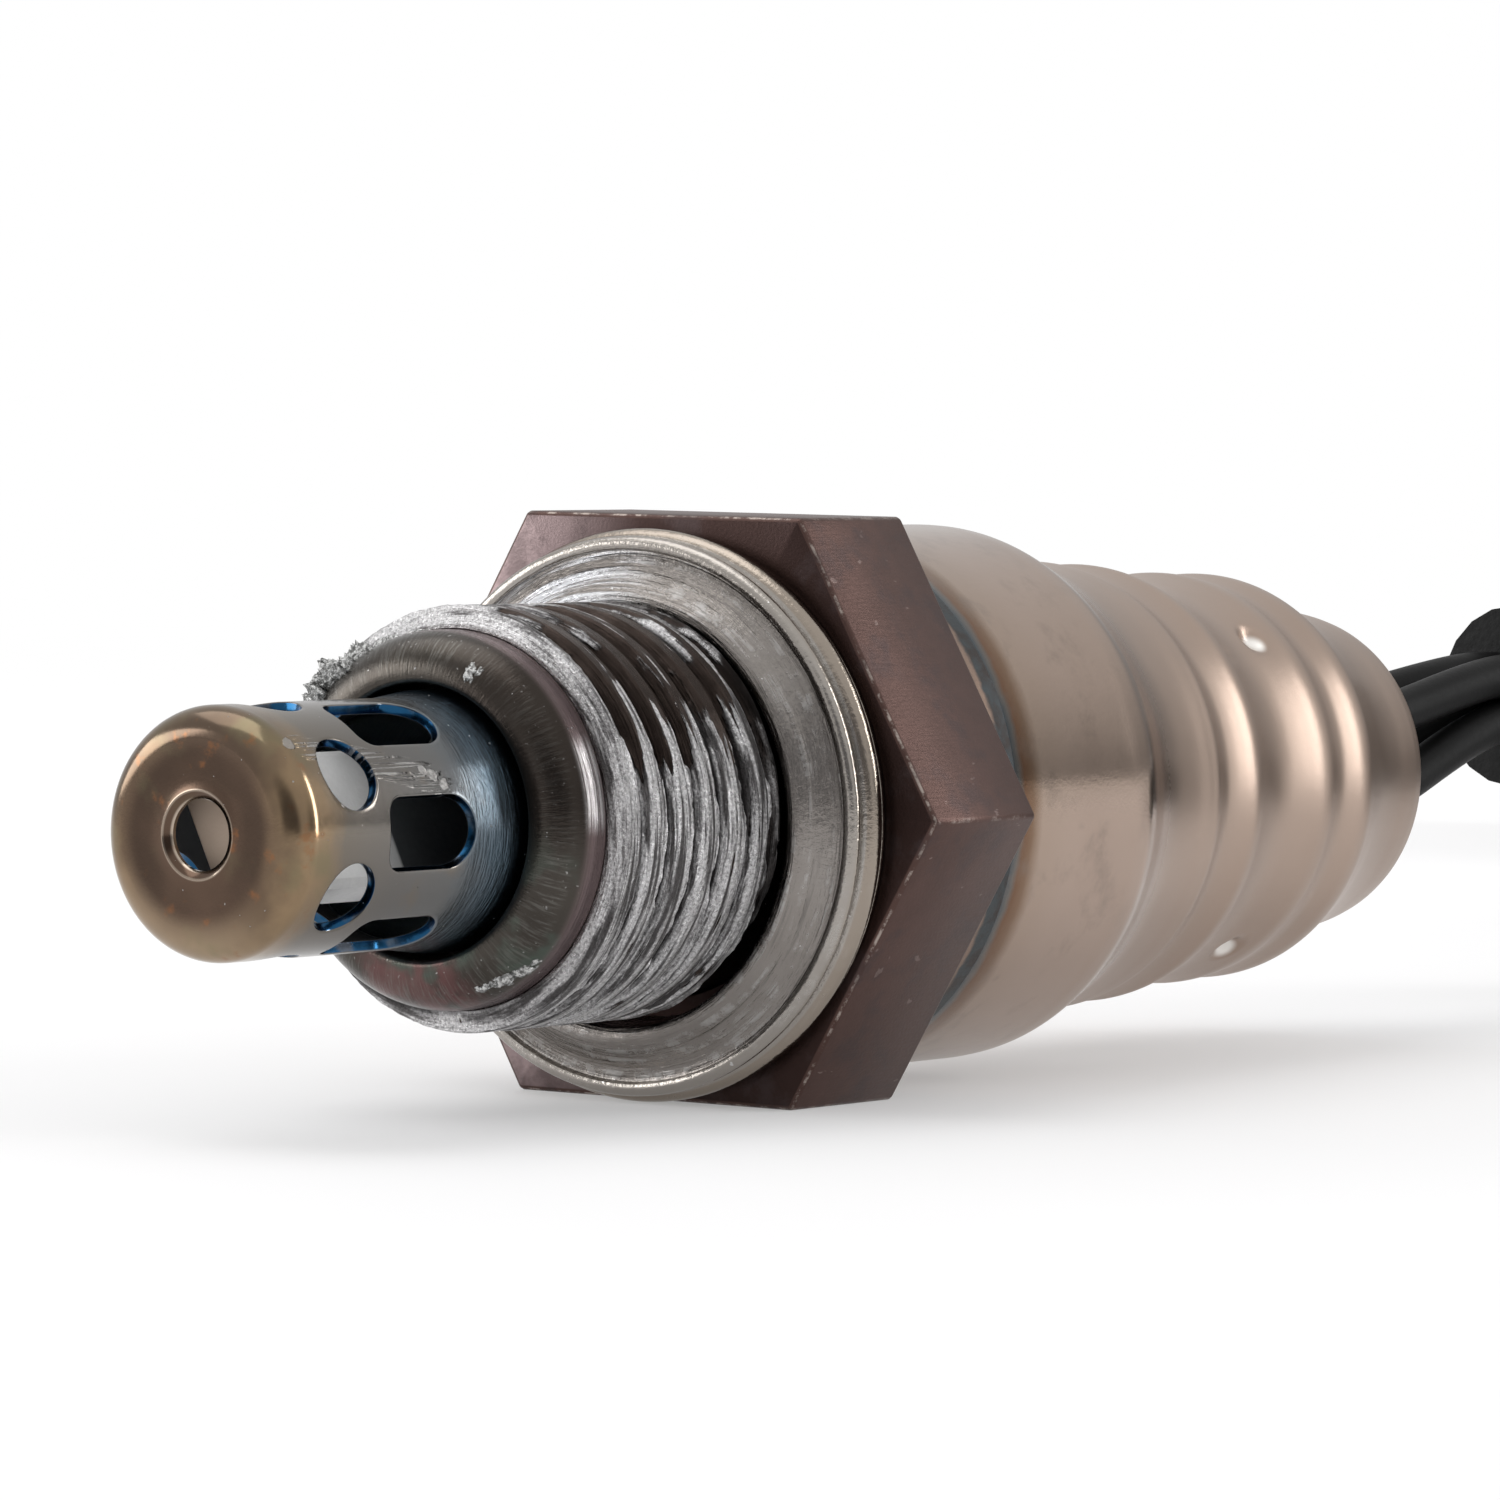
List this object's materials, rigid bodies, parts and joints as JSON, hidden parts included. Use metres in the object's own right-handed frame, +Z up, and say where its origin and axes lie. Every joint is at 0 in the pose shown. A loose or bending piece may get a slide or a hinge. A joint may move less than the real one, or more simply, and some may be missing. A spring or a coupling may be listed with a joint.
{
  "type": "oxygen sensor",
  "caption": "Used four-wire exhaust oxygen sensor with perforated tip, threaded hex shell, crush gasket, stepped steel sleeve and black cable to a plug.",
  "frame": {"origin": "on the surface it lies on, below the middle of the sensor itself, whose hexagon rests on a flat", "axes": "+X along the sensor from the perforated tip to the cable end, +Y to the left seen from the cable end, +Z up"},
  "size_m": [0.1784, 0.0925, 0.0208],
  "materials": {
    "tube_steel": "satin, heat tinted bronze to blue",
    "shell_steel": "turned, heat tinted dark brown, anti-seize paste on the thread",
    "gasket_steel": "satin, with concentric scuffs",
    "element_ceramic": "matt porous coating, grey body behind",
    "white_ceramic": "matt, unglazed",
    "talc": "pressed powder",
    "sleeve_steel": "satin drawn stainless steel",
    "contact_metal": "bright",
    "grommet_rubber": "matt black",
    "wire_insulation": "matt, black, grey and two white",
    "cable_sleeving": "matt black",
    "tie_tape": "matt black",
    "connector_plastic": "matt black, moulded",
    "lock_plastic": "matt grey, moulded",
    "seal_rubber": "matt",
    "terminal_brass": "tin plated"
  },
  "bodies": {
    "root": {"cable_coil": "cable_sleeving", "cable_lead": "cable_sleeving", "cable_tail": "cable_sleeving", "coil_tie": "tie_tape", "connector_housing": "connector_plastic", "connector_seal_cap": "connector_plastic", "connector_terminal_1": "terminal_brass", "connector_terminal_2": "terminal_brass", "connector_terminal_3": "terminal_brass", "connector_terminal_4": "terminal_brass", "connector_terminal_lock": "lock_plastic", "connector_wire_seal": "seal_rubber", "contact_1": "contact_metal", "contact_2": "contact_metal", "contact_3": "contact_metal", "contact_4": "contact_metal", "contact_holder_lower": "white_ceramic", "contact_holder_upper": "white_ceramic", "crimp_ring": "shell_steel", "crush_gasket": "gasket_steel", "front_ceramic_bush": "white_ceramic", "grommet": "grommet_rubber", "holder_clip": "sleeve_steel", "lead_wire_1": "wire_insulation", "lead_wire_2": "wire_insulation", "lead_wire_3": "wire_insulation", "lead_wire_4": "wire_insulation", "protection_tube": "tube_steel", "rear_ceramic_bush": "white_ceramic", "rear_sleeve": "sleeve_steel", "sensing_element": "element_ceramic", "sensor_shell": "shell_steel", "talc_seal": "talc"}
  },
  "joints": []
}
